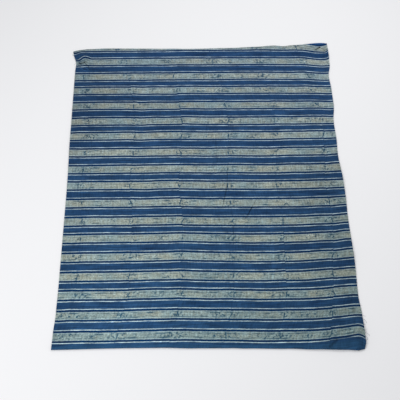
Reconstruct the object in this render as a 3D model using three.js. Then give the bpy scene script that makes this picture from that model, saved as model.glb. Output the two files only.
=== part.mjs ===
// A length of striped, block-printed cotton, folded once and lying flat.
// Millimetres, +Z up. X runs across the cloth and Y along it, away from the fold.
// The cloth is one sheet: a flat lower layer, a fold along the front edge, and an upper layer with its
// own soft swells, lying a little above the lower one.

import * as THREE from 'three';

// Driving sizes
const clothWidth = 900;
const clothThickness = 1.2;
const layerGap = 0.8;
const foldSwell = 2.6; // how far the rolled fold stands above the flat upper layer
const foldReach = 26; // how far from the fold that swell dies out
const lowerDrawnIn = 5; // the lower layer's side edges lie this far inside the upper ones
const lowerDrawnInReach = 160; // length over which the lower layer's sides draw in, from the fold
const lowerShortfall = 8; // the lower cut end stops this far in front of the upper one

// How finely the sheet is divided
const columnCount = 36;
const lowerRowCount = 7;
const foldStepCount = 8;
const upperRowCount = 42;
const edgeCrowding = 0.55; // 0 spaces the divisions evenly, towards 1 crowds them at the edges

// How far each side edge stands out from straight, at a place along the cloth
const leftEdge = [
  { along: -540, out: 4.5 },
  { along: -496, out: 3.4 },
  { along: -430, out: -0.6 },
  { along: -340, out: -1.8 },
  { along: -134, out: -2.5 },
  { along: 0, out: -3 },
  { along: 180, out: 0 },
  { along: 450, out: 1.5 },
  { along: 474, out: -0.3 },
  { along: 536, out: 13.5 },
];
const rightEdge = [
  { along: -558, out: -6 },
  { along: -532, out: 0.5 },
  { along: -450, out: 0.3 },
  { along: -396, out: -3.6 },
  { along: -300, out: -1.2 },
  { along: -130, out: -3.4 },
  { along: -66, out: -2 },
  { along: -20, out: -2.8 },
  { along: 90, out: -9.4 },
  { along: 150, out: -7.3 },
  { along: 218, out: -9.1 },
  { along: 290, out: -1.4 },
  { along: 355, out: -2.2 },
  { along: 408, out: -5.6 },
  { along: 462, out: 3.3 },
  { along: 520, out: 4.6 },
  { along: 557, out: 3 },
];

// Where the fold and the cut end lie, at a place across the cloth
const foldLine = [
  { across: -457, along: -538 },
  { across: -260, along: -536.8 },
  { across: -141, along: -537.6 },
  { across: -38, along: -541 },
  { across: 66, along: -542.4 },
  { across: 110, along: -544.2 },
  { across: 226, along: -547 },
  { across: 310, along: -550.6 },
  { across: 400, along: -553.6 },
  { across: 432, along: -555.9 },
  { across: 455, along: -552 },
];
const cutEnd = [
  { across: -457, along: 535.5 },
  { across: -396, along: 545 },
  { across: -330, along: 547 },
  { across: -266, along: 545.5 },
  { across: -120, along: 542 },
  { across: -40, along: 539.5 },
  { across: 100, along: 541 },
  { across: 190, along: 544.5 },
  { across: 262, along: 549 },
  { across: 292, along: 546 },
  { across: 330, along: 550 },
  { across: 430, along: 558 },
  { across: 457, along: 555 },
];

// Soft swells of the upper layer: middle, height, half widths along their own two axes, and turn
const swells = [
  { name: 'puffed front right corner', across: 388, along: -512, rise: 12, wide: 74, deep: 36, turn: 8 },
  { name: 'pucker at the back left corner', across: -428, along: 508, rise: 9, wide: 14, deep: 30, turn: 35 },
  { name: 'crumple at the back right corner', across: 424, along: 512, rise: 7, wide: 34, deep: 15, turn: -28 },
  { name: 'ridge left of the middle', across: -84, along: -330, rise: 2.4, wide: 26, deep: 190, turn: 0 },
  { name: 'ridge right of the middle', across: 200, along: -255, rise: 2.4, wide: 18, deep: 110, turn: 0 },
  { name: 'wave at the front right edge', across: 440, along: -262, rise: 4, wide: 42, deep: 52, turn: 0 },
  { name: 'wave at the right edge', across: 440, along: 0, rise: 3.5, wide: 40, deep: 60, turn: 0 },
  { name: 'wave at the left edge', across: -445, along: 120, rise: 2.5, wide: 36, deep: 140, turn: 0 },
  { name: 'low wave across the back', across: -60, along: 330, rise: 2, wide: 240, deep: 40, turn: 4 },
];

// The value between two rows of a table, eased so that the edge stays smooth
function readTable(table, given, wanted, place) {
  const next = table.findIndex((row) => row[given] >= place);
  if (next === 0) return table[0][wanted];
  if (next < 0) return table[table.length - 1][wanted];
  const before = table[next - 1];
  const after = table[next];
  const share = THREE.MathUtils.smoothstep(place, before[given], after[given]);
  return THREE.MathUtils.lerp(before[wanted], after[wanted], share);
}

// Even shares from 0 to 1, drawn towards both ends
function crowdedShare(step, count) {
  const share = step / count;
  return share - (edgeCrowding * Math.sin(2 * Math.PI * share)) / (2 * Math.PI);
}

function swellHeight(across, along) {
  let height = 0;
  for (const swell of swells) {
    const turn = THREE.MathUtils.degToRad(swell.turn);
    const fromMiddleAcross = across - swell.across;
    const fromMiddleAlong = along - swell.along;
    const wide = (fromMiddleAcross * Math.cos(turn) + fromMiddleAlong * Math.sin(turn)) / swell.wide;
    const deep = (fromMiddleAlong * Math.cos(turn) - fromMiddleAcross * Math.sin(turn)) / swell.deep;
    height += swell.rise * Math.exp(-wide * wide - deep * deep);
  }
  return height;
}

// Heights of the middle of the sheet
const lowerHeight = clothThickness / 2;
const upperHeight = lowerHeight + clothThickness + layerGap;

function upperSurface(across, along, fromFold) {
  const nearness = fromFold / foldReach;
  return upperHeight + foldSwell * Math.exp(-nearness * nearness) + swellHeight(across, along);
}

// A place on the cloth, from its share of the width and its distance along the cloth
function acrossAt(widthShare, along, drawnIn) {
  const left = -clothWidth / 2 - readTable(leftEdge, 'along', 'out', along) + drawnIn;
  const right = clothWidth / 2 + readTable(rightEdge, 'along', 'out', along) - drawnIn;
  return THREE.MathUtils.lerp(left, right, widthShare);
}

// One lengthwise section of the sheet: the lower layer from its cut end to the fold, round the fold, and
// back along the upper layer to its own cut end
function sectionPoints(widthShare) {
  const straightAcross = (widthShare - 0.5) * clothWidth;
  const nose = readTable(foldLine, 'across', 'along', straightAcross);
  const end = readTable(cutEnd, 'across', 'along', straightAcross);
  const foldAcross = acrossAt(widthShare, nose, 0);
  const foldRadius = (upperSurface(foldAcross, nose, 0) - lowerHeight) / 2;
  const foldEnd = nose + foldRadius;
  const points = [];

  for (let row = 0; row <= lowerRowCount; row += 1) {
    const along = THREE.MathUtils.lerp(end - lowerShortfall, foldEnd, row / lowerRowCount);
    const drawnIn = lowerDrawnIn * THREE.MathUtils.smoothstep(along - foldEnd, 0, lowerDrawnInReach);
    points.push(new THREE.Vector3(acrossAt(widthShare, along, drawnIn), along, lowerHeight));
  }
  for (let step = 1; step < foldStepCount; step += 1) {
    const angle = Math.PI * (step / foldStepCount - 0.5);
    const along = foldEnd - foldRadius * Math.cos(angle);
    const height = lowerHeight + foldRadius * (1 + Math.sin(angle));
    points.push(new THREE.Vector3(acrossAt(widthShare, along, 0), along, height));
  }
  for (let row = 0; row <= upperRowCount; row += 1) {
    const along = THREE.MathUtils.lerp(foldEnd, end, crowdedShare(row, upperRowCount));
    const across = acrossAt(widthShare, along, 0);
    points.push(new THREE.Vector3(across, along, upperSurface(across, along, along - foldEnd)));
  }
  return points;
}

// The outward direction at each point of the sheet's middle, from its neighbours
function outwardAt(sections, column, row) {
  const lastColumn = sections.length - 1;
  const lastRow = sections[0].length - 1;
  const acrossStep = new THREE.Vector3().subVectors(
    sections[Math.min(column + 1, lastColumn)][row],
    sections[Math.max(column - 1, 0)][row],
  );
  const alongStep = new THREE.Vector3().subVectors(
    sections[column][Math.min(row + 1, lastRow)],
    sections[column][Math.max(row - 1, 0)],
  );
  return acrossStep.cross(alongStep).normalize();
}

// The sheet with its thickness, closed round all four edges
function makeClothGeometry() {
  const sections = [];
  for (let column = 0; column <= columnCount; column += 1) {
    sections.push(sectionPoints(crowdedShare(column, columnCount)));
  }
  const rowCount = sections[0].length;
  const positions = [];
  for (const side of [1, -1]) {
    for (let column = 0; column <= columnCount; column += 1) {
      for (let row = 0; row < rowCount; row += 1) {
        const offset = outwardAt(sections, column, row).multiplyScalar((side * clothThickness) / 2);
        positions.push(...offset.add(sections[column][row]).toArray());
      }
    }
  }

  const pointsPerSide = (columnCount + 1) * rowCount;
  const outer = (column, row) => column * rowCount + row;
  const inner = (column, row) => pointsPerSide + outer(column, row);
  const indices = [];
  const addQuad = (a, b, c, d) => indices.push(a, b, c, a, c, d);
  const lastRow = rowCount - 1;
  for (let column = 0; column < columnCount; column += 1) {
    const next = column + 1;
    for (let row = 0; row < lastRow; row += 1) {
      const ahead = row + 1;
      addQuad(outer(column, row), outer(next, row), outer(next, ahead), outer(column, ahead));
      addQuad(inner(column, ahead), inner(next, ahead), inner(next, row), inner(column, row));
    }
    addQuad(inner(column, 0), inner(next, 0), outer(next, 0), outer(column, 0));
    addQuad(outer(column, lastRow), outer(next, lastRow), inner(next, lastRow), inner(column, lastRow));
  }
  for (let row = 0; row < lastRow; row += 1) {
    const ahead = row + 1;
    addQuad(outer(0, row), outer(0, ahead), inner(0, ahead), inner(0, row));
    addQuad(
      outer(columnCount, ahead),
      outer(columnCount, row),
      inner(columnCount, row),
      inner(columnCount, ahead),
    );
  }

  const geometry = new THREE.BufferGeometry();
  geometry.setAttribute('position', new THREE.Float32BufferAttribute(positions, 3));
  geometry.setIndex(indices);

  // The origin is under the middle of the outline, on the surface that the cloth lies on
  geometry.computeBoundingBox();
  const middle = geometry.boundingBox.getCenter(new THREE.Vector3());
  geometry.translate(-middle.x, -middle.y, 0);
  geometry.computeVertexNormals();
  return geometry;
}

// Indigo-dyed cotton: a matt cloth, mid blue where its stripes run together
const indigoCotton = new THREE.MeshStandardMaterial({ color: 0x4d6a84, roughness: 0.92, metalness: 0 });

const cloth = new THREE.Mesh(makeClothGeometry(), indigoCotton);
cloth.name = 'cloth';

const foldedCloth = new THREE.Group();
foldedCloth.add(cloth);

export default foldedCloth;
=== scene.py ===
"""A length of striped, block-printed cotton, folded once and lying flat on a pale floor."""

import math
from types import SimpleNamespace

import bpy
from mathutils import Matrix, Vector, noise


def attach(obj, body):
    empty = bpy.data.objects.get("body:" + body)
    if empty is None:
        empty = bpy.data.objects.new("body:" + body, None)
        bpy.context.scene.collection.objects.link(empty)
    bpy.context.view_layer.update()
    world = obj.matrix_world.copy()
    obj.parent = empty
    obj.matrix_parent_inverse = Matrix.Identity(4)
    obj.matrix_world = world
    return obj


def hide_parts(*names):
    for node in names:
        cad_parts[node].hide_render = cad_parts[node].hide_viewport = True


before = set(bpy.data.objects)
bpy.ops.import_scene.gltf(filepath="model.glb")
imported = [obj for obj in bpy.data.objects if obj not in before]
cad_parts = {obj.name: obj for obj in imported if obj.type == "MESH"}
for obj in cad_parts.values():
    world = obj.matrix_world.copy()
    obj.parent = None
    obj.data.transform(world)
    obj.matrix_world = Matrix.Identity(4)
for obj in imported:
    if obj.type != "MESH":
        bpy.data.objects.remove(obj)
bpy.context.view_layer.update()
bpy.ops.object.select_all(action="DESELECT")

# Sizes of the cloth, in millimetres, as in the solid that it stands for
MM = 0.001
CLOTH_WIDTH = 900
CLOTH_THICKNESS = 1.2
LAYER_GAP = 0.8
FOLD_SWELL = 2.6  # how far the rolled fold stands above the flat upper layer
FOLD_REACH = 26  # how far from the fold that swell dies out
LOWER_DRAWN_IN = 5  # the lower layer's side edges lie this far inside the upper ones
LOWER_DRAWN_IN_REACH = 160  # length over which they draw in, from the fold
LOWER_SHORTFALL = 8  # the lower cut end stops this far in front of the upper one
LOWER_HEIGHT = CLOTH_THICKNESS / 2
UPPER_HEIGHT = LOWER_HEIGHT + CLOTH_THICKNESS + LAYER_GAP

# How the sheet is divided, and which edges of it stay sharp
COLUMN_COUNT = 176
LOWER_ROW_COUNT = 34
FOLD_STEP_COUNT = 12
UPPER_ROW_COUNT = 228
ROW_COUNT = LOWER_ROW_COUNT + FOLD_STEP_COUNT + UPPER_ROW_COUNT
EDGE_CROWDING = 0.25  # 0 spaces the divisions evenly, towards 1 crowds them at the edges
SHARP_ANGLE = 50  # degrees

# Columns: place along the cloth, how far the side edge stands out from straight there
LEFT_EDGE = (
    (-540, 4.5), (-496, 3.4), (-430, -0.6), (-340, -1.8), (-134, -2.5),
    (0, -3), (180, 0), (450, 1.5), (474, -0.3), (536, 13.5),
)
RIGHT_EDGE = (
    (-558, -6), (-532, 0.5), (-450, 0.3), (-396, -3.6), (-300, -1.2), (-130, -3.4),
    (-66, -2), (-20, -2.8), (90, -9.4), (150, -7.3), (218, -9.1), (290, -1.4),
    (355, -2.2), (408, -5.6), (462, 3.3), (520, 4.6), (557, 3),
)

# Columns: place across the cloth, where the fold or the cut end lies along it there
FOLD_LINE = (
    (-457, -538), (-260, -536.8), (-141, -537.6), (-38, -541), (66, -542.4), (110, -544.2),
    (226, -547), (310, -550.6), (400, -553.6), (432, -555.9), (455, -552),
)
CUT_END = (
    (-457, 535.5), (-396, 545), (-330, 547), (-266, 545.5), (-120, 542), (-40, 539.5), (100, 541),
    (190, 544.5), (262, 549), (292, 546), (330, 550), (430, 558), (457, 555),
)

# Soft swells of the upper layer
# Columns: middle across, middle along, rise, half width, half depth, turn in degrees
SWELLS = (
    (388, -512, 12, 74, 36, 8),  # puffed front right corner
    (-428, 508, 9, 14, 30, 35),  # pucker at the back left corner
    (424, 512, 7, 34, 15, -28),  # crumple at the back right corner
    (-84, -330, 2.4, 26, 190, 0),  # ridge left of the middle
    (200, -255, 2.4, 18, 110, 0),  # ridge right of the middle
    (440, -262, 4, 42, 52, 0),  # wave at the front right edge
    (440, 0, 3.5, 40, 60, 0),  # wave at the right edge
    (-445, 120, 2.5, 36, 140, 0),  # wave at the left edge
    (-60, 330, 2, 240, 40, 4),  # low wave across the back
)

# Creases of the upper layer, as soft troughs and ridges
# Columns: start across, start along, end across, end along, rise, half width
CREASES = (
    (69, 2, 56, -88, -0.9, 5),  # hair crease in the middle
    (162, -72, 124, -134, -0.9, 5),  # slanting crease beside it
    (206, -150, 198, -357, 1.0, 7),  # crease that catches the light
    (85, -161, 83, -209, -0.8, 6),  # short crease in the middle
    (366, -529, 343, -546, -2.0, 9),  # dent in the puffed corner
    (436, -470, 428, -541, 2.6, 10),  # rolled rim of the puffed corner
    (-452, 489, -402, 497, -2.0, 7),  # pinch at the back left corner
    (-446, 516, -410, 510, 2.2, 7),  # ridge above the pinch
    (-448, 470, -414, 464, 1.6, 8),  # ridge below the pinch
    (409, 525, 428, 541, -1.6, 6),  # trough at the back right corner
    (440, 545, 452, 505, -1.4, 8),  # dip of the back right edge
)

# Painted light and shade on the cloth: thin painted shadows along creases, dents and troughs, painted
# highlights on ridges and wrinkles that catch the light, a few bright flecks, and broad painted light and
# shade across the sheet
# Columns: start across, start along, end across, end along, half width, how much paler
PAINTED_LIGHT_AND_SHADE = (
    (-400, -470, -260, -520, 520, 0.24),  # painted light on the front left
    (405, 0, 420, -440, 240, -0.17),  # painted shade on the right side
    (-450, 540, -445, 240, 230, -0.2),  # painted shade on the back left
    (-300, 290, -110, 260, 150, -0.08),  # its right
    (-450, -540, -450, -220, 110, -0.13),  # painted shade on the left edge of the front
    (-250, -470, -180, -470, 100, 0.2),  # painted light on part of the front left
    (73, 50, 69, -22, 2.6, -0.42),  # painted shade in the hair crease in the middle
    (69, -22, 53, -91, 2.8, -0.5),  # its front part, bent aside
    (37, 150, 41, 70, 2.6, -0.3),  # fainter one behind it
    (28, -12, 60, -12.5, 2.0, -0.3),  # dark dash beside it
    (164, -66, 120, -140, 2.6, -0.4),  # slanting crease beside it
    (146, -95, 131, -127, 3.0, -0.45),  # its deepest part
    (84, -158, 83, -216, 3.0, -0.3),  # short crease in the middle
    (206, -150, 198, -357, 9.0, 0.14),  # crease that catches the light
    (-446, 478, -416, 486, 3.0, -0.4),  # pinch at the back left corner
    (-421, 484, -405, 466, 3.0, -0.45),  # its lower arm
    (-440, 481, -422, 482, 2.4, -0.4),  # wrinkle beside it
    (-433, 459, -416, 449, 2.4, 0.9),  # painted highlight on the wrinkle below it
    (-418, 463, -405, 454, 2.4, 0.8),  # another
    (-450, 497, -424, 508, 2.4, -0.4),  # wrinkle above it
    (410, 526, 425, 538, 5.0, -0.8),  # trough at the back right corner
    (425, 538, 442, 524, 4.2, -0.6),  # its right arm
    (424, 530, 436, 526, 5.0, 0.25),  # pale pocket between the two
    (385, 553, 446, 557, 8.0, 0.8),  # paler cut end above it
    (366, -527, 344, -545, 7.0, -0.34),  # dent in the puffed corner
    (426, -526, 436, -548, 18, -0.14),  # shaded rim of the puffed corner
    (-285, -461, -280, -461, 2.6, 1.6),  # bright fleck
    (-141, -487, -137, -487, 2.4, 1.2),  # bright fleck
    (-143, -522, -139, -522, 2.4, 1.2),  # bright fleck
)

# Where the resist lay thinner or thicker on the pale bands
# Columns: middle across, middle along, half width, half depth, how much thinner
RESIST_PATCHES = (
    (25, -330, 90, 260, 0.08),  # middle of the front
    (-190, 60, 190, 200, -0.08),  # left of the middle
    (260, -30, 110, 320, -0.06),  # right of the middle
)
# Where the pale lines printed faintly
# Columns: middle across, middle along, half width, half depth, share of the line that is left
FAINT_LINES = (
    (383, -527, 46, 16, 0.35),  # last line at the puffed corner
    (425, 556, 75, 16, 0.0),  # past the last band at the back right corner
)
FAINT_CORE = 0.6  # share of such a place that is evenly faint

# Fine unevenness of soft cotton all over
# Columns: wavelength, height
RUMPLES = ((70, 0.5), (28, 0.2))

# Loose threads at the side edges, the right one as 1 and the left one as -1
# Columns: side, place along the cloth, length, slant in degrees, curl
LOOSE_THREADS = (
    (1, -425, 6, 35, 2),
    (1, -458, 11, 25, 4),
    (1, -468, 14, -12, 6),
    (1, -477, 8, -40, -3),
    (1, -503, 11, 30, -5),
    (1, -509, 16, 5, 7),
    (1, -516, 12, -28, 4),
    (1, -526, 7, -8, -3),
    (-1, 520, 8, 8, 3),
    (-1, 482, 9, -15, -4),
)
THREAD_RADIUS = 0.22
THREAD_INSET = 1  # a thread leaves the cloth this far inside its edge
THREAD_TIP_HEIGHT = 0.5
THREAD_HALF_WAVES = 1.4  # of the curl, over the thread's length

# The print, in millimetres. A hand block carries three stripe groups, and the blocks stand in rows.
BLOCK_LENGTH = 158
BLOCK_HEIGHT = 185.2
GROUPS_PER_BLOCK = 3
GROUP_PITCH = 63.2
JOINT_BAND = 15.0  # the blue band between two block rows, narrower than those within a block
PLAIN_MARGIN = 62  # unprinted cloth at the fold

# Stripes of one group, from its near edge
# Columns: start, end
NEAR_PALE_LINE = (1.3, 3.5)
PALE_BAND = (9.9, 33.5)
FAR_PALE_LINE = (40.3, 42.5)
NEAR_DARK_LINE = (NEAR_PALE_LINE[1], PALE_BAND[0])
FAR_DARK_LINE = (PALE_BAND[1], FAR_PALE_LINE[0])
RIM_WIDTH = 2.4  # the resist is thickest along the edges of the pale band
NEAR_RIM = (PALE_BAND[0], PALE_BAND[0] + RIM_WIDTH)
FAR_RIM = (PALE_BAND[1] - RIM_WIDTH, PALE_BAND[1])
NEAR_DASHES = (12.9, 17.4)  # dashes of dye lie just inside the rims
FAR_DASHES = (25.5, 31.0)

# How far the edges of the stripes are soft, either way
LINE_SOFTNESS = 0.6
BAND_SOFTNESS = 0.7
DASH_SOFTNESS = 0.8

# How far the hand strays, either way
BLOCK_SLIP = 0.85
BLOCK_TILT = 0.01  # for each millimetre from the block's middle
EDGE_WAVER = 1.0
EDGE_RAGGEDNESS = 0.9

# Slits of dye at the joints between blocks
# Columns: least, most
SLIT_LEAN = (-0.5, 0.4)  # sideways for each millimetre along
SLIT_MIDDLE = (PALE_BAND[0] + 7, PALE_BAND[1] - 7)
SLIT_HALF_LENGTH = (-1.0, 13.0)  # one below zero leaves hardly any slit
SLIT_WRIGGLE = (-3.0, 3.0)
# Columns: where the dye starts to fade, where it ends
SLIT_SIDE = (1.0, 2.8)  # off the slit's line
SLIT_END = (-1.0, 1.5)  # past the slit's end

# What changes beside a joint
# Columns: where the change starts to fade, where it ends
JOINT_WEAR = (4.0, 30.0)  # the resist cracked more
LINE_GAP = (0.8, 2.4)  # the pale lines are broken
# How far from the start of the print these changes end
FRONT_WEAR_REACH = 210  # the resist is thinner
PRINT_REACH = 1100  # the pale lines are stronger and the dye greener
# How much thinner the resist counts
JOINT_WEAR_AMOUNT = 0.22
FRONT_WEAR_AMOUNT = 0.10

# Sizes of the marks that chance leaves
# Columns: along the stripes, across them
WAVER_SIZE = (60, 60)  # soft waver of the stripe edges
RAGGED_SIZE = (7, 16)  # their finer raggedness
WRIGGLE_SIZE = (9, 9)  # bends of the slits
THINNESS_SIZE = (36, 36)  # places where the resist was thin
DASH_SIZE = (32, 3.8)  # dashes along the band's edges
CRACK_SIZE = (9, 6)  # cells whose edges are the cracks
CRACK_BEND_SIZE = (7, 7)  # bends of those cells
CRACK_BEND = 2.2  # how far they are bent, as a share of a cell
CRACK_SPREAD_SIZE = (8, 8)  # places where cracks show
STREAK_SIZE = (70, 5.5)  # streaks of dye along the stripes
UPRIGHT_SIZE = (6, 26)  # streaks across the pale band
TINT_SIZE = (90, 90)  # creamier and bluer parts of the pale band
GRAIN_SIZE = (5, 4)  # grain of the pale band
DYE_SIZE = (90, 90)  # deeper and lighter parts of the ground
LINE_PATCH_SIZE = (32, 18)  # stronger and fainter parts of the pale lines
# The real threads lie too close together to show, so those along the stripes are drawn about eight times
# as coarse, and those across them about eleven times
WEAVE_SPACING = 0.4
WEFT_SIZE = (50, 7.5 * WEAVE_SPACING)
WARP_SIZE = (11.25 * WEAVE_SPACING, 22)
WEAVE_RELIEF = 0.6

# Columns: place along the cloth where a block row starts, its number counted from the fold
BLOCK_ROWS = ((-534, 0), (-352.5, 1), (-171, 2), (14.5, 3), (201.4, 4), (387.0, 5), (576.5, 6))
# Columns: place across the cloth, how far along the stripes stray from square there
STRIPE_DRIFT = (
    (-450, 4.5), (-250, 3.4), (-90, 2.8), (40, -0.5), (200, -4), (300, -4.8), (380, -3), (450, 2),
)
# Columns: place along the cloth, how far across one line of block joints lies there
JOINT_DRIFT = (
    (-545, 36), (-497, 49), (-437, 66), (-370, 78), (-130, 83), (-10, 71), (110, 79),
    (230, 83), (300, 75), (360, 66), (420, 54), (490, 35), (550, 22),
)
# Where the cloth drags the stripes along, at its corners and where it was pulled askew
# Columns: middle across, middle along, drag, half width, half depth
STRIPE_DRAGS = (
    (440, 480, -12, 55, 150),  # back right corner
    (425, 540, -4.5, 36, 75),  # its dip
    (430, 517, -6.5, 42, 28),  # deepest part of the dip
    (458, 514, 12, 11, 24),  # its very edge
    (430, -545, 8, 70, 85),  # front right corner
    (464, -520, -15, 20, 44),  # its very edge
    (-452, 512, -11, 22, 34),  # pucker at the back left corner
    (-414, 504, 2.8, 12, 22),  # crest of the pucker
    (-280, 550, -2.6, 200, 26),  # last stripes at the cut end, left
    (240, 550, 2.4, 110, 26),  # and right
    (440, 270, -6.5, 32, 120),  # right edge behind the middle
    (440, -10, -4.5, 30, 60),  # right edge at the middle
    (425, -190, 1.8, 28, 45),  # right edge, between the middle and the front
    (405, -375, 2.8, 50, 80),  # right edge in front
    (395, -505, -2.8, 55, 28),  # inside the front right corner
    (170, -532, -1.2, 120, 24),  # last line before the fold
    (-440, -460, -1.6, 26, 110),  # left edge in front
    (-445, 230, -2.2, 20, 80),  # left edge behind the middle
    (-212, 260, -3, 26, 140),  # narrow pull behind the middle, on the left
    (-95, 335, -1.8, 65, 45),  # low wave across the back
    (204, -250, -2.4, 20, 100),  # crease that catches the light
    (-168, -345, 1.8, 42, 40),  # left of the front ridge
    (110, 48, 1.3, 260, 26),  # one stripe across the middle
    (-140, 310, -3, 110, 60),  # broad pull at the back, on the left
    (-205, -30, -2, 40, 70),  # left of the middle
    (130, -250, -2.2, 80, 100),  # in front, right of the middle
    (180, 340, 2.6, 90, 200),  # at the back, right of the middle
    (350, -300, 2.2, 70, 160),  # in front, towards the right edge
    (-340, -80, 1.2, 110, 150),  # middle, towards the left edge
    (290, 110, 3, 45, 110),  # behind the middle, towards the right edge
)
# Where the block joints stand off their even spacing
# Columns: middle across, middle along, shift, half width, half depth
JOINT_SHIFTS = (
    (400, -410, -20, 90, 190),  # last column of blocks, printed over its neighbour
    (390, 220, 5, 90, 150),  # the same column behind the middle
)


def smooth_step(value, reach):
    """From 0 to 1 over a reach, easing in and out."""
    share = min(max(value / reach, 0), 1)
    return share * share * (3 - 2 * share)


def read_table(table, place, eased=True):
    """The value between two rows of a two-column table, eased so that an edge stays smooth."""
    if place <= table[0][0]:
        return table[0][1]
    for (before, before_value), (after, after_value) in zip(table, table[1:]):
        if place <= after:
            share = (place - before) / (after - before)
            if eased:
                share = smooth_step(place - before, after - before)
            return before_value + (after_value - before_value) * share
    return table[-1][1]


def crowded_share(step, count):
    """Even shares from 0 to 1, drawn a little towards both ends."""
    share = step / count
    return share - EDGE_CROWDING * math.sin(2 * math.pi * share) / (2 * math.pi)


def swell_height(across, along):
    height = 0
    for middle_across, middle_along, rise, wide, deep, turn in SWELLS:
        angle = math.radians(turn)
        off_across = across - middle_across
        off_along = along - middle_along
        share_wide = (off_across * math.cos(angle) + off_along * math.sin(angle)) / wide
        share_deep = (off_along * math.cos(angle) - off_across * math.sin(angle)) / deep
        height += rise * math.exp(-share_wide ** 2 - share_deep ** 2)
    return height


def crease_height(across, along):
    height = 0
    for start_across, start_along, end_across, end_along, rise, half_width in CREASES:
        run_across = end_across - start_across
        run_along = end_along - start_along
        length_squared = run_across ** 2 + run_along ** 2
        share = ((across - start_across) * run_across + (along - start_along) * run_along) / length_squared
        share = min(max(share, 0), 1)
        off_across = across - start_across - share * run_across
        off_along = along - start_along - share * run_along
        height += rise * math.exp(-(off_across ** 2 + off_along ** 2) / half_width ** 2)
    return height


def rumple_height(across, along):
    height = 0
    for wavelength, size in RUMPLES:
        height += size * noise.noise(Vector((across, along, wavelength)) / wavelength)
    return height


def upper_height(across, along, from_fold):
    """Height of the middle of the upper layer, never closer to the lower layer than the solid's."""
    relief = swell_height(across, along) + crease_height(across, along) + rumple_height(across, along)
    fold_height = FOLD_SWELL * math.exp(-(from_fold / FOLD_REACH) ** 2)
    return UPPER_HEIGHT + fold_height + max(relief, -LAYER_GAP / 2)


def across_at(width_share, along, drawn_in=0):
    """Place across the cloth, from its share of the width between the two wavy side edges."""
    left = -CLOTH_WIDTH / 2 - read_table(LEFT_EDGE, along) + drawn_in
    right = CLOTH_WIDTH / 2 + read_table(RIGHT_EDGE, along) - drawn_in
    return left + (right - left) * width_share


def summed_shifts(table, across, along):
    """The shifts of all rows of a table at a place, each fading out from its own middle."""
    total = 0
    for middle_across, middle_along, shift, wide, deep in table:
        share_wide = (across - middle_across) / wide
        share_deep = (along - middle_along) / deep
        total += shift * math.exp(-share_wide ** 2 - share_deep ** 2)
    return total


def print_place(across, along):
    """Where a point of the upper layer lies on the printed cloth: across from a joint, along from row 0."""
    undragged = along - read_table(STRIPE_DRIFT, across) - summed_shifts(STRIPE_DRAGS, across, along)
    first_start = BLOCK_ROWS[0][0]
    if undragged < first_start:
        printed_along = undragged - first_start
    else:
        printed_along = BLOCK_HEIGHT * read_table(BLOCK_ROWS, undragged, eased=False)
    joint = read_table(JOINT_DRIFT, along) + summed_shifts(JOINT_SHIFTS, across, along)
    return across - joint, printed_along


def section_points(width_share):
    """One lengthwise section of the sheet, from the lower cut end round the fold to the upper cut end.

    Each point has its place across and along the cloth, its height, and its place on the print.
    """
    straight_across = (width_share - 0.5) * CLOTH_WIDTH
    nose = read_table(FOLD_LINE, straight_across)
    end = read_table(CUT_END, straight_across)
    fold_across = across_at(width_share, nose)
    fold_radius = (upper_height(fold_across, nose, 0) - LOWER_HEIGHT) / 2
    fold_end = nose + fold_radius
    print_across, print_along = print_place(fold_across, fold_end)
    points = []
    for row in range(LOWER_ROW_COUNT + 1):
        along = end - LOWER_SHORTFALL + (fold_end - end + LOWER_SHORTFALL) * row / LOWER_ROW_COUNT
        drawn_in = LOWER_DRAWN_IN * smooth_step(along - fold_end, LOWER_DRAWN_IN_REACH)
        across = across_at(width_share, along, drawn_in)
        turned_along = print_along - math.pi * fold_radius - (along - fold_end)
        points.append((across, along, LOWER_HEIGHT, print_across, turned_along))
    for step in range(1, FOLD_STEP_COUNT):
        angle = math.pi * (step / FOLD_STEP_COUNT - 0.5)
        along = fold_end - fold_radius * math.cos(angle)
        height = LOWER_HEIGHT + fold_radius * (1 + math.sin(angle))
        turned_along = print_along - fold_radius * (math.pi / 2 - angle)
        points.append((across_at(width_share, along), along, height, print_across, turned_along))
    for row in range(UPPER_ROW_COUNT + 1):
        along = fold_end + (end - fold_end) * crowded_share(row, UPPER_ROW_COUNT)
        across = across_at(width_share, along)
        height = upper_height(across, along, along - fold_end)
        points.append((across, along, height, *print_place(across, along)))
    return points


# The two maps of the sheet: places on the print, and places across and along the folded cloth
PRINT_MAP = "print"
SHEET_MAP = "sheet"


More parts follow.
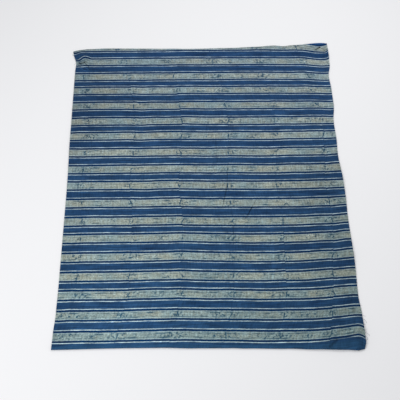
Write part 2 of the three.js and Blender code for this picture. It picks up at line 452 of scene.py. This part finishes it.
def make_cloth():
    """The sheet: a flat grid, folded and creased point by point, then given its thickness.

    Returns it centred on the floor, with how far its middle was from the middle of the tables.
    """
    bpy.ops.mesh.primitive_grid_add(x_subdivisions=COLUMN_COUNT, y_subdivisions=ROW_COUNT, size=1)
    cloth = bpy.context.object
    cloth.name = "printed_cloth"
    mesh = cloth.data
    sections = []
    for column in range(COLUMN_COUNT + 1):
        sections.append(section_points(crowded_share(column, COLUMN_COUNT)))
    print_places = []
    sheet_places = []
    for vertex in mesh.vertices:
        column = round((vertex.co.x + 0.5) * COLUMN_COUNT)
        row = round((vertex.co.y + 0.5) * ROW_COUNT)
        across, along, height, print_across, print_along = sections[column][row]
        vertex.co = Vector((across, along, height)) * MM
        print_places.append(Vector((print_across, print_along)) * MM)
        sheet_places.append(Vector((across, along)) * MM)
    mesh.uv_layers.active.name = PRINT_MAP
    mesh.uv_layers.new(name=SHEET_MAP)
    for map_name, places in ((PRINT_MAP, print_places), (SHEET_MAP, sheet_places)):
        corners = mesh.uv_layers[map_name].data
        for loop in mesh.loops:
            corners[loop.index].uv = places[loop.vertex_index]

    solidify = cloth.modifiers.new("thickness", "SOLIDIFY")
    solidify.thickness = CLOTH_THICKNESS * MM
    solidify.offset = 0
    bpy.ops.object.modifier_apply(modifier=solidify.name)

    low = Vector([min(vertex.co[axis] for vertex in mesh.vertices) for axis in range(3)])
    high = Vector([max(vertex.co[axis] for vertex in mesh.vertices) for axis in range(3)])
    middle = Vector(((low.x + high.x) / 2, (low.y + high.y) / 2, low.z))
    mesh.transform(Matrix.Translation(-middle))
    bpy.ops.object.shade_smooth_by_angle(angle=math.radians(SHARP_ANGLE))
    return cloth, middle


def make_threads(middle):
    """Short threads that have worked loose at the side edges, each a bent path with a round section."""
    threads = []
    for side, along, length, slant, curl in LOOSE_THREADS:
        edge = across_at(0.5 + side * 0.5, along)
        root = Vector((edge - side * THREAD_INSET, along, UPPER_HEIGHT))
        outward = Vector((side * math.cos(math.radians(slant)), math.sin(math.radians(slant)), 0))
        sideways = Vector((-outward.y, outward.x, 0))
        bpy.ops.curve.primitive_nurbs_path_add()
        thread = bpy.context.object
        path_points = thread.data.splines[0].points
        for index, point in enumerate(path_points):
            share = index / (len(path_points) - 1)
            wave = math.sin(math.pi * share * THREAD_HALF_WAVES)
            place = root + outward * length * share + sideways * curl * wave
            place.z = root.z * (1 - share) + THREAD_TIP_HEIGHT * share
            point.co = (*(place * MM - middle), 1)
        thread.data.bevel_depth = THREAD_RADIUS * MM
        thread.data.bevel_resolution = 1
        thread.data.resolution_u = 6
        bpy.ops.object.convert(target="MESH")
        threads.append(bpy.context.object)
    bpy.ops.object.select_all(action="DESELECT")
    for thread in threads:
        thread.select_set(True)
    bpy.ops.object.join()
    bpy.ops.object.shade_smooth()
    joined = bpy.context.object
    joined.name = "loose_threads"
    return joined


# Colours of the pale band, with the strength of what lies on it
CREAM_BAND = "#9aa299"
BLUE_GREEN_BAND = "#869a9d"
UPRIGHT_TINT = 0.4  # how far the streaks across the band turn it blue-green
THIN_TINT = 2.0  # how far thin resist does so
THIN_DEPTH = -0.8  # how far thin resist changes its brightness
CREPT_DYE = "#18435c"
CREPT_STRENGTH = 0.95
THICK_RIM = "#a0b7c0"
RIM_STRENGTH = 0.45
# Colours of the dyed ground and of the thin lines
DEEP_INDIGO = "#19375b"
LIGHT_INDIGO = "#25466a"
FOLD_INDIGO = "#2d5577"
FOLD_LIGHTENING = 0.35
DARK_LINE = "#012950"
PALE_LINE = "#c9e0e6"
# Colours of the loose threads, the floor and the sky
THREAD_GREY = "#8d9499"
FLOOR_WHITE = "#f0f0f1"
SKY_WHITE = "#f8f9fc"


def linear(hex_colour):
    """An sRGB hex colour as the linear red, green, blue and alpha that a shader takes."""
    channels = [int(hex_colour[start:start + 2], 16) / 255 for start in (1, 3, 5)]
    bent = [c / 12.92 if c <= 0.04045 else ((c + 0.055) / 1.055) ** 2.4 for c in channels]
    return (*bent, 1.0)


def add_node(tree, kind, inputs, stops=(), **settings):
    """Add a node with its settings, and fill its inputs with values or with what other nodes give."""
    node = tree.nodes.new(kind)
    for name, setting in settings.items():
        setattr(node, name, setting)
    shown = [socket for socket in node.inputs if socket.enabled]
    for name, value in inputs.items():
        socket = shown[name] if isinstance(name, int) else next(s for s in shown if s.name == name)
        if isinstance(value, bpy.types.Node):
            value = next(s for s in value.outputs if s.enabled)
        if isinstance(value, bpy.types.NodeSocket):
            tree.links.new(value, socket)
        else:
            socket.default_value = value
    for index, (place, level) in enumerate(stops):
        if index < len(node.color_ramp.elements):
            stop = node.color_ramp.elements[index]
            stop.position = place
        else:
            stop = node.color_ramp.elements.new(place)
        stop.color = (level, level, level, 1.0)
    return node


def new_material(name):
    material = bpy.data.materials.new(name)
    material.use_nodes = True
    material.node_tree.nodes.clear()
    return material, material.node_tree


# Kinds of shader node
MATH = "ShaderNodeMath"
VECTOR_MATH = "ShaderNodeVectorMath"
MAP_RANGE = "ShaderNodeMapRange"
MIX = "ShaderNodeMix"
RAMP = "ShaderNodeValToRGB"
SHADER = "ShaderNodeBsdfPrincipled"
OUTPUT = "ShaderNodeOutputMaterial"

# The stripe chart is laid out on a ramp from CHART_LEAD before a group to CHART_SPAN further on
CHART_LEAD = 10
CHART_SPAN = 80


def stripe_stops(stripes, softness):
    """Ramp stops that are 1 inside each stripe and 0 outside, with soft edges in millimetres."""
    stops = []
    for start, end in stripes:
        edges = ((start - softness, 0), (start + softness, 1), (end - softness, 1), (end + softness, 0))
        for place, level in edges:
            stops.append(((place + CHART_LEAD) / CHART_SPAN, level))
    return stops


def chance_marks(tree, place, size, detail):
    """Soft marks left by chance, of a size in millimetres along and across the stripes."""
    per_mark = (1 / size[0], 1 / size[1], 1.0)
    scaled = add_node(tree, VECTOR_MATH, {0: place, 1: per_mark}, operation="MULTIPLY")
    return add_node(tree, "ShaderNodeTexNoise", {"Vector": scaled, "Scale": 1.0, "Detail": detail})


def chances_by(tree, first, second):
    """Four chance values from 0 to 1, the same wherever a pair of whole numbers is the same."""
    key = add_node(tree, "ShaderNodeCombineXYZ", {"X": first, "Y": second})
    chance = add_node(tree, "ShaderNodeTexWhiteNoise", {"Vector": key}, noise_dimensions="2D")
    split = add_node(tree, "ShaderNodeSeparateColor", {0: chance.outputs["Color"]})
    return [chance.outputs["Value"], *split.outputs]


def soft_patch(tree, on_sheet, middle, half_sizes, levels, core=0.0):
    """A level that goes smoothly from one value in the core of an oval to another at its edge."""
    offset = add_node(tree, VECTOR_MATH, {0: on_sheet, 1: (*middle, 0.0)}, operation="SUBTRACT")
    reach = add_node(tree, VECTOR_MATH, {0: offset, 1: (*half_sizes, 1.0)}, operation="DIVIDE")
    reach = add_node(tree, VECTOR_MATH, {0: reach}, operation="LENGTH")
    return add_node(
        tree, MAP_RANGE,
        {"Value": reach.outputs["Value"], "From Min": core, "To Min": levels[0], "To Max": levels[1]},
        interpolation_type="SMOOTHSTEP",
    )


def strayed_along(tree, place, across, along, column, row):
    """Place along the cloth with the hand's errors.

    Each block lands a little off, so its stripes step and tilt against its neighbours'. The edges of the
    stripes waver, and are ragged where the resist was thin.
    """
    _, slip_chance, tilt_chance, _ = chances_by(tree, column, row)
    slip = add_node(tree, MAP_RANGE, {"Value": slip_chance, "To Min": -BLOCK_SLIP, "To Max": BLOCK_SLIP})
    tilt = add_node(tree, MAP_RANGE, {"Value": tilt_chance, "To Min": -BLOCK_TILT, "To Max": BLOCK_TILT})
    block_start = add_node(tree, MATH, {0: column, 1: BLOCK_LENGTH}, operation="MULTIPLY")
    in_block = add_node(tree, MATH, {0: across, 1: block_start}, operation="SUBTRACT")
    from_middle = add_node(tree, MATH, {0: in_block, 1: BLOCK_LENGTH / 2}, operation="SUBTRACT")
    strayed = add_node(tree, MATH, {0: from_middle, 1: tilt, 2: slip}, operation="MULTIPLY_ADD")
    waver = chance_marks(tree, place, WAVER_SIZE, 1.0)
    waver = add_node(tree, MAP_RANGE, {"Value": waver, "To Min": -EDGE_WAVER, "To Max": EDGE_WAVER})
    ragged = chance_marks(tree, place, RAGGED_SIZE, 2.0)
    ragged = add_node(
        tree, MAP_RANGE, {"Value": ragged, "To Min": -EDGE_RAGGEDNESS, "To Max": EDGE_RAGGEDNESS}
    )
    for shift in (waver, ragged, along):
        strayed = add_node(tree, MATH, {0: strayed, 1: shift}, operation="ADD")
    return strayed


def lay_out_print(tree):
    """Where a point lies on the print: its block, its stripe group and the nearest joint of blocks."""
    print_metres = add_node(tree, "ShaderNodeUVMap", {}, uv_map=PRINT_MAP)
    place = add_node(tree, VECTOR_MATH, {0: print_metres, "Scale": 1 / MM}, operation="SCALE")
    sheet_metres = add_node(tree, "ShaderNodeUVMap", {}, uv_map=SHEET_MAP)
    on_sheet = add_node(tree, VECTOR_MATH, {0: sheet_metres, "Scale": 1 / MM}, operation="SCALE")
    split = add_node(tree, "ShaderNodeSeparateXYZ", {0: place})
    across = split.outputs["X"]
    along = split.outputs["Y"]
    blocks_across = add_node(tree, MATH, {0: across, 1: BLOCK_LENGTH}, operation="DIVIDE")
    column = add_node(tree, MATH, {0: blocks_across}, operation="FLOOR")
    blocks_along = add_node(tree, MATH, {0: along, 1: BLOCK_HEIGHT}, operation="DIVIDE")
    row = add_node(tree, MATH, {0: blocks_along}, operation="FLOOR")

    # Place within the block row, then within the stripe group
    strayed = strayed_along(tree, place, across, along, column, row)
    row_start = add_node(tree, MATH, {0: row, 1: BLOCK_HEIGHT}, operation="MULTIPLY")
    in_row = add_node(tree, MATH, {0: strayed, 1: row_start}, operation="SUBTRACT")
    in_row = add_node(tree, MATH, {0: in_row, 1: JOINT_BAND / 2}, operation="SUBTRACT")
    group = add_node(tree, MATH, {0: in_row, 1: GROUP_PITCH}, operation="DIVIDE")
    group = add_node(tree, MATH, {0: group}, operation="FLOOR")
    group = add_node(tree, "ShaderNodeClamp", {"Value": group, "Min": 0.0, "Max": GROUPS_PER_BLOCK - 1})
    group_start = add_node(tree, MATH, {0: group, 1: GROUP_PITCH}, operation="MULTIPLY")
    in_group = add_node(tree, MATH, {0: in_row, 1: group_start}, operation="SUBTRACT")
    on_chart = add_node(
        tree, MAP_RANGE,
        {"Value": in_group, "From Min": -CHART_LEAD, "From Max": CHART_SPAN - CHART_LEAD},
    )
    stripe = add_node(tree, MATH, {0: row, 1: GROUPS_PER_BLOCK, 2: group}, operation="MULTIPLY_ADD")

    # The nearest joint between two blocks of a row
    joint = add_node(tree, MATH, {0: blocks_across}, operation="ROUND")
    joint_place = add_node(tree, MATH, {0: joint, 1: BLOCK_LENGTH}, operation="MULTIPLY")
    off_joint = add_node(tree, MATH, {0: across, 1: joint_place}, operation="SUBTRACT")

    # The plain margin at the fold carries no print
    margin = add_node(
        tree, MATH, {0: along, 1: -PLAIN_MARGIN / 2, 2: PLAIN_MARGIN / 2}, operation="COMPARE"
    )
    return SimpleNamespace(
        place=place,
        on_sheet=on_sheet,
        along=along,
        in_group=in_group,
        on_chart=on_chart,
        off_joint=off_joint,
        beside_joint=add_node(tree, MATH, {0: off_joint}, operation="ABSOLUTE"),
        joint_chances=chances_by(tree, joint, stripe),
        stripe_chances=chances_by(tree, column, stripe),
        margin=margin,
        printed=add_node(tree, MATH, {0: 1.0, 1: margin}, operation="SUBTRACT"),
    )


def joint_slits(tree, chart):
    """A slit of dye at each joint between blocks, of its own height, length and lean."""
    _, lean_chance, height_chance, length_chance = chart.joint_chances
    lean = add_node(tree, MAP_RANGE, {"Value": lean_chance, "To Min": SLIT_LEAN[0], "To Max": SLIT_LEAN[1]})
    middle = add_node(
        tree, MAP_RANGE, {"Value": height_chance, "To Min": SLIT_MIDDLE[0], "To Max": SLIT_MIDDLE[1]}
    )
    half_length = add_node(
        tree, MAP_RANGE,
        {"Value": length_chance, "To Min": SLIT_HALF_LENGTH[0], "To Max": SLIT_HALF_LENGTH[1]},
    )
    off_middle = add_node(tree, MATH, {0: chart.in_group, 1: middle}, operation="SUBTRACT")
    wriggle = chance_marks(tree, chart.place, WRIGGLE_SIZE, 2.0)
    wriggle = add_node(
        tree, MAP_RANGE, {"Value": wriggle, "To Min": SLIT_WRIGGLE[0], "To Max": SLIT_WRIGGLE[1]}
    )
    aside = add_node(tree, MATH, {0: off_middle, 1: lean, 2: chart.off_joint}, operation="MULTIPLY_ADD")
    aside = add_node(tree, MATH, {0: aside, 1: wriggle}, operation="ADD")
    aside = add_node(tree, MATH, {0: aside}, operation="ABSOLUTE")
    slit = add_node(
        tree, MAP_RANGE,
        {"Value": aside, "From Min": SLIT_SIDE[0], "From Max": SLIT_SIDE[1], "To Min": 1.0, "To Max": 0.0},
    )
    past_end = add_node(tree, MATH, {0: off_middle}, operation="ABSOLUTE")
    past_end = add_node(tree, MATH, {0: past_end, 1: half_length}, operation="SUBTRACT")
    in_length = add_node(
        tree, MAP_RANGE,
        {"Value": past_end, "From Min": SLIT_END[0], "From Max": SLIT_END[1], "To Min": 1.0, "To Max": 0.0},
    )
    return add_node(tree, MATH, {0: slit, 1: in_length}, operation="MULTIPLY")


def thin_resist(tree, chart):
    """How much thinner than usual the resist lay: more near the fold, and more or less in patches."""
    thinner = add_node(
        tree, MAP_RANGE,
        {"Value": chart.along, "From Max": FRONT_WEAR_REACH, "To Min": FRONT_WEAR_AMOUNT, "To Max": 0.0},
    )
    for *middle, half_width, half_depth, amount in RESIST_PATCHES:
        patch = soft_patch(tree, chart.on_sheet, middle, (half_width, half_depth), (amount, 0.0))
        thinner = add_node(tree, MATH, {0: thinner, 1: patch}, operation="ADD")
    return thinner


def crept_dye(tree, chart, thinner):
    """How much dye got under the resist of the pale band.

    It lies in slits at the joints, in dashes along the band's edges, and in small blots and cracks where
    the resist was thin, mostly near the joints.
    """
    thinness = chance_marks(tree, chart.place, THINNESS_SIZE, 2.0)
    thinness = add_node(tree, MATH, {0: thinness, 1: thinner}, operation="ADD")
    near_joint = add_node(
        tree, MAP_RANGE,
        {
            "Value": chart.beside_joint,
            "From Min": JOINT_WEAR[0],
            "From Max": JOINT_WEAR[1],
            "To Min": JOINT_WEAR_AMOUNT,
            "To Max": 0.0,
        },
    )
    worn = add_node(tree, MATH, {0: thinness, 1: near_joint}, operation="ADD")
    worn = add_node(tree, MAP_RANGE, {"Value": worn, "From Min": 0.53, "From Max": 0.67})

    dash_zone = add_node(
        tree, RAMP, {0: chart.on_chart}, stops=stripe_stops((NEAR_DASHES, FAR_DASHES), DASH_SOFTNESS)
    )
    dash_spread = add_node(
        tree, MAP_RANGE,
        {"Value": thinness, "From Min": 0.38, "From Max": 0.54, "To Min": 0.3, "To Max": 0.9},
    )
    dash = chance_marks(tree, chart.place, DASH_SIZE, 2.0)
    dash = add_node(tree, MAP_RANGE, {"Value": dash, "From Min": 0.48, "From Max": 0.60})
    for factor in (dash_zone, dash_spread):
        dash = add_node(tree, MATH, {0: dash, 1: factor}, operation="MULTIPLY")

    # Cracks follow the edges of small cells, bent out of their regular shape
    per_crack = (1 / CRACK_SIZE[0], 1 / CRACK_SIZE[1], 1.0)
    crack_place = add_node(tree, VECTOR_MATH, {0: chart.place, 1: per_crack}, operation="MULTIPLY")
    bend = chance_marks(tree, chart.place, CRACK_BEND_SIZE, 1.0)
    crack_place = add_node(
        tree, VECTOR_MATH, {0: bend.outputs["Color"], 1: (CRACK_BEND, CRACK_BEND, 0.0), 2: crack_place},
        operation="MULTIPLY_ADD",
    )
    crack = add_node(
        tree, "ShaderNodeTexVoronoi", {"Vector": crack_place, "Scale": 1.0}, feature="DISTANCE_TO_EDGE"
    )
    crack = add_node(
        tree, MAP_RANGE, {"Value": crack, "From Min": 0.06, "From Max": 0.34, "To Min": 1.0, "To Max": 0.0}
    )
    crack_spread = chance_marks(tree, chart.place, CRACK_SPREAD_SIZE, 1.0)
    crack_spread = add_node(tree, MAP_RANGE, {"Value": crack_spread, "From Min": 0.50, "From Max": 0.60})
    for factor in (crack_spread, worn):
        crack = add_node(tree, MATH, {0: crack, 1: factor}, operation="MULTIPLY")

    crept = crack
    for mark in (dash, joint_slits(tree, chart)):
        crept = add_node(tree, MATH, {0: crept, 1: mark}, operation="MAXIMUM")
    return add_node(tree, MATH, {0: crept, 1: CREPT_STRENGTH}, operation="MULTIPLY")


def pale_band_colour(tree, chart, streak):
    """The band where the resist lay: cream where it was thick, blue-green where dye got through."""
    thinner = thin_resist(tree, chart)
    upright = chance_marks(tree, chart.place, UPRIGHT_SIZE, 2.0)
    tint = chance_marks(tree, chart.place, TINT_SIZE, 2.0)
    tint = add_node(tree, MATH, {0: upright, 1: UPRIGHT_TINT, 2: tint}, operation="MULTIPLY_ADD")
    tint = add_node(tree, MATH, {0: thinner, 1: THIN_TINT, 2: tint}, operation="MULTIPLY_ADD")
    tint = add_node(tree, MAP_RANGE, {"Value": tint, "From Min": 0.56, "From Max": 0.86})
    pale = add_node(
        tree, MIX, {"Factor": tint, "A": linear(CREAM_BAND), "B": linear(BLUE_GREEN_BAND)}, data_type="RGBA"
    )

    # Lighter and darker threads, prints and grains
    depth = add_node(
        tree, MAP_RANGE,
        {"Value": streak, "From Min": 0.37, "From Max": 0.61, "To Min": 0.84, "To Max": 1.08},
    )
    upright_depth = add_node(
        tree, MAP_RANGE,
        {"Value": upright, "From Min": 0.35, "From Max": 0.65, "To Min": 0.85, "To Max": 1.12},
    )
    _, _, band_chance, _ = chart.stripe_chances
    print_depth = add_node(tree, MAP_RANGE, {"Value": band_chance, "To Min": 0.92, "To Max": 1.07})
    grain = chance_marks(tree, chart.place, GRAIN_SIZE, 1.0)
    grain_depth = add_node(
        tree, MAP_RANGE,
        {"Value": grain, "From Min": 0.3, "From Max": 0.7, "To Min": 0.70, "To Max": 1.23},
    )
    for factor in (upright_depth, print_depth, grain_depth):
        depth = add_node(tree, MATH, {0: depth, 1: factor}, operation="MULTIPLY")
    depth = add_node(tree, MATH, {0: thinner, 1: THIN_DEPTH, 2: depth}, operation="MULTIPLY_ADD")
    pale = add_node(tree, VECTOR_MATH, {0: pale, "Scale": depth}, operation="SCALE")

    crept = crept_dye(tree, chart, thinner)
    pale = add_node(tree, MIX, {"Factor": crept, "A": pale, "B": linear(CREPT_DYE)}, data_type="RGBA")
    rims = add_node(tree, RAMP, {0: chart.on_chart}, stops=stripe_stops((NEAR_RIM, FAR_RIM), BAND_SOFTNESS))
    rims = add_node(tree, MATH, {0: rims, 1: RIM_STRENGTH}, operation="MULTIPLY")
    return add_node(tree, MIX, {"Factor": rims, "A": pale, "B": linear(THICK_RIM)}, data_type="RGBA")


def dyed_ground_colour(tree, chart, streak):
    """The ground: a deep, slightly streaky blue, lighter at the fold and darkest beside the pale band."""
    dye = chance_marks(tree, chart.place, DYE_SIZE, 4.0)
    dye = add_node(tree, MAP_RANGE, {"Value": dye, "From Min": 0.3, "From Max": 0.7})
    blue = add_node(
        tree, MIX, {"Factor": dye, "A": linear(DEEP_INDIGO), "B": linear(LIGHT_INDIGO)}, data_type="RGBA"
    )
    depth = add_node(
        tree, MAP_RANGE,
        {"Value": streak, "From Min": 0.3, "From Max": 0.7, "To Min": 0.66, "To Max": 1.34},
    )
    blue = add_node(tree, VECTOR_MATH, {0: blue, "Scale": depth}, operation="SCALE")
    # a lighter blue over the plain margin at the fold
    fold_lightening = add_node(tree, MATH, {0: chart.margin, 1: FOLD_LIGHTENING}, operation="MULTIPLY")
    blue = add_node(tree, MIX, {"Factor": fold_lightening, "A": blue, "B": linear(FOLD_INDIGO)}, data_type="RGBA")
    dark_stops = stripe_stops((NEAR_DARK_LINE, FAR_DARK_LINE), LINE_SOFTNESS)
    dark_lines = add_node(tree, RAMP, {0: chart.on_chart}, stops=dark_stops)
    dark_lines = add_node(tree, MATH, {0: dark_lines, 1: chart.printed}, operation="MULTIPLY")
    return add_node(tree, MIX, {"Factor": dark_lines, "A": blue, "B": linear(DARK_LINE)}, data_type="RGBA")


def pale_line_share(tree, chart):
    """How strongly the thin pale lines show: uneven, broken at the joints and fainter at the back."""
    line_stops = stripe_stops((NEAR_PALE_LINE, FAR_PALE_LINE), LINE_SOFTNESS)
    lines = add_node(tree, RAMP, {0: chart.on_chart}, stops=line_stops)
    patches = chance_marks(tree, chart.place, LINE_PATCH_SIZE, 3.0)
    patches = add_node(
        tree, MAP_RANGE,
        {"Value": patches, "From Min": 0.35, "From Max": 0.6, "To Min": 0.4, "To Max": 0.92},
    )
    line_chance, *_ = chart.stripe_chances
    print_depth = add_node(tree, MAP_RANGE, {"Value": line_chance, "To Min": 0.72, "To Max": 1.0})
    wear = add_node(
        tree, MAP_RANGE, {"Value": chart.along, "From Max": PRINT_REACH, "To Min": 1.1, "To Max": 0.92}
    )
    _, break_chance, _, _ = chart.joint_chances
    break_depth = add_node(tree, MAP_RANGE, {"Value": break_chance, "To Min": 0.45, "To Max": 1.0})
    breaks = add_node(
        tree, MAP_RANGE,
        {
            "Value": chart.beside_joint,
            "From Min": LINE_GAP[0],
            "From Max": LINE_GAP[1],
            "To Min": break_depth,
        },
    )
    factors = [patches, print_depth, wear, breaks, chart.printed]
    for *middle, half_width, half_depth, share_left in FAINT_LINES:
        half_sizes = (half_width, half_depth)
        faint = soft_patch(tree, chart.on_sheet, middle, half_sizes, (share_left, 1.0), FAINT_CORE)
        factors.append(faint)
    for factor in factors:
        lines = add_node(tree, MATH, {0: lines, 1: factor}, operation="MULTIPLY")
    return lines


def painted_light_share(tree, on_sheet):
    """How light the cloth is made by painted light and shade: painted shadows and highlights along its
    creases, ridges and wrinkles, and broad painted light and shade across the sheet.
    """
    painted_light = 1.0
    for start_across, start_along, end_across, end_along, half_width, paler in PAINTED_LIGHT_AND_SHADE:
        start = Vector((start_across, start_along, 0))
        run = Vector((end_across, end_along, 0)) - start
        offset = add_node(tree, VECTOR_MATH, {0: on_sheet, 1: start}, operation="SUBTRACT")
        share = add_node(
            tree, VECTOR_MATH, {0: offset, 1: run / run.length_squared}, operation="DOT_PRODUCT"
        )
        share = add_node(tree, "ShaderNodeClamp", {"Value": share.outputs["Value"]})
        nearest = add_node(tree, VECTOR_MATH, {0: run, "Scale": share}, operation="SCALE")
        gap = add_node(tree, VECTOR_MATH, {0: offset, 1: nearest}, operation="DISTANCE")
        line = add_node(
            tree, MAP_RANGE,
            {"Value": gap.outputs["Value"], "From Max": half_width, "To Min": paler, "To Max": 0.0},
            interpolation_type="SMOOTHSTEP",
        )
        painted_light = add_node(tree, MATH, {0: line, 1: painted_light}, operation="ADD")
    return painted_light


def indigo_cotton():
    """Hand-woven cotton, printed with resist blocks and dyed in indigo.

    The resist leaves pale grey-green stripes with blue cracks and blots where dye crept in; the dyed
    ground is a deep, slightly streaky blue, and the slubby weave makes the surface matt.
    """
    material, tree = new_material("indigo_resist_cotton")
    chart = lay_out_print(tree)

    # The stripes laid together, with broad streaks of dye along them
    streak = chance_marks(tree, chart.place, STREAK_SIZE, 3.0)
    blue = dyed_ground_colour(tree, chart, streak)
    pale = pale_band_colour(tree, chart, streak)
    band = add_node(tree, RAMP, {0: chart.on_chart}, stops=stripe_stops((PALE_BAND,), BAND_SOFTNESS))
    band = add_node(tree, MATH, {0: band, 1: chart.printed}, operation="MULTIPLY")
    colour = add_node(tree, MIX, {"Factor": band, "A": blue, "B": pale}, data_type="RGBA")
    lines = pale_line_share(tree, chart)
    colour = add_node(tree, MIX, {"Factor": lines, "A": colour, "B": linear(PALE_LINE)}, data_type="RGBA")

    # The dye turns a little greener towards the fold
    bluer = add_node(
        tree, MAP_RANGE, {"Value": chart.along, "From Max": PRINT_REACH, "To Min": 0.945, "To Max": 1.045}
    )
    bluer = add_node(tree, "ShaderNodeCombineXYZ", {"X": 1.0, "Y": 1.0, "Z": bluer})
    colour = add_node(tree, VECTOR_MATH, {0: colour, 1: bluer}, operation="MULTIPLY")

    # Slubs of the two sets of threads, and painted light and shade along the creases and across the sheet
    weft = chance_marks(tree, chart.place, WEFT_SIZE, 2.0)
    warp = chance_marks(tree, chart.place, WARP_SIZE, 2.0)
    slubs = add_node(tree, MATH, {0: weft, 1: warp}, operation="ADD")
    shade = add_node(
        tree, MAP_RANGE,
        {"Value": slubs, "From Min": 0.7, "From Max": 1.3, "To Min": 0.76, "To Max": 1.24},
    )
    painted_light = painted_light_share(tree, chart.on_sheet)
    shade = add_node(tree, MATH, {0: shade, 1: painted_light}, operation="MULTIPLY")
    colour = add_node(tree, VECTOR_MATH, {0: colour, "Scale": shade}, operation="SCALE")
    bump = add_node(
        tree, "ShaderNodeBump", {"Height": slubs, "Strength": 0.35, "Distance": WEAVE_RELIEF * MM}
    )
    shader = add_node(
        tree, SHADER,
        {
            "Base Color": colour,
            "Roughness": 0.95,
            "Specular IOR Level": 0.1,
            "Sheen Weight": 0.03,
            "Normal": bump,
        },
    )
    add_node(tree, OUTPUT, {"Surface": shader})
    return material


def grey_cotton_thread():
    """Undyed cotton thread: a soft, fuzzy grey."""
    material, tree = new_material("grey_cotton_thread")
    shader = add_node(
        tree, SHADER,
        {
            "Base Color": linear(THREAD_GREY),
            "Roughness": 0.95,
            "Specular IOR Level": 0.1,
            "Sheen Weight": 0.2,
        },
    )
    add_node(tree, OUTPUT, {"Surface": shader})
    return material


def pale_floor_paint():
    """Matt white paint: even, with no gloss."""
    material, tree = new_material("matt_white_paint")
    shader = add_node(
        tree, SHADER,
        {"Base Color": linear(FLOOR_WHITE), "Roughness": 0.9, "Specular IOR Level": 0.1},
    )
    add_node(tree, OUTPUT, {"Surface": shader})
    return material


cloth, sheet_middle = make_cloth()
cloth.data.materials.append(indigo_cotton())
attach(cloth, "root")
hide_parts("cloth")

threads = make_threads(sheet_middle)
threads.data.materials.append(grey_cotton_thread())
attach(threads, "root")

# Floor
FLOOR_SIZE = 14
bpy.ops.mesh.primitive_plane_add(size=FLOOR_SIZE, location=(0, 0, 0))
floor = bpy.context.object
floor.name = "floor"
floor.data.materials.append(pale_floor_paint())

# Soft light: an even sky, and two panels that brighten the front left and the back right
scene = bpy.context.scene
world = bpy.data.worlds.new("studio")
scene.world = world
world.use_nodes = True
SKY_STRENGTH = 0.5
sky = world.node_tree.nodes["Background"]
sky.inputs["Color"].default_value = linear(SKY_WHITE)
sky.inputs["Strength"].default_value = SKY_STRENGTH
# Columns: place in metres, power in watts
LIGHT_PANELS = (((-1.1, -1.0, 1.8), 20), ((0.5, 0.9, 1.8), 15.5))
PANEL_SIZE = 1.2
for panel_place, panel_power in LIGHT_PANELS:
    bpy.ops.object.light_add(type="AREA", location=panel_place)
    panel = bpy.context.object
    panel.data.size = PANEL_SIZE
    panel.data.energy = panel_power
    panel.rotation_euler = (-Vector(panel_place)).to_track_quat("-Z", "Y").to_euler()
scene.view_settings.view_transform = "Standard"

# The photograph's view: from above the fold, looking steeply down
CAMERA_FROM_SHEET = Vector((-0.0356, -0.9614, 1.8345))  # metres, from the middle of the tables
CAMERA_DOWN = 64  # degrees
CAMERA_TURN = 1.075  # degrees
FRAME_WIDTH = 400  # pixels of the photograph
FOCAL_LENGTH = 637.7  # in the same pixels
bpy.ops.object.camera_add(location=CAMERA_FROM_SHEET - sheet_middle)
camera = bpy.context.object
camera.rotation_euler = (math.radians(90 - CAMERA_DOWN), 0, math.radians(-CAMERA_TURN))
camera.data.lens = FOCAL_LENGTH / FRAME_WIDTH * camera.data.sensor_width
scene.camera = camera
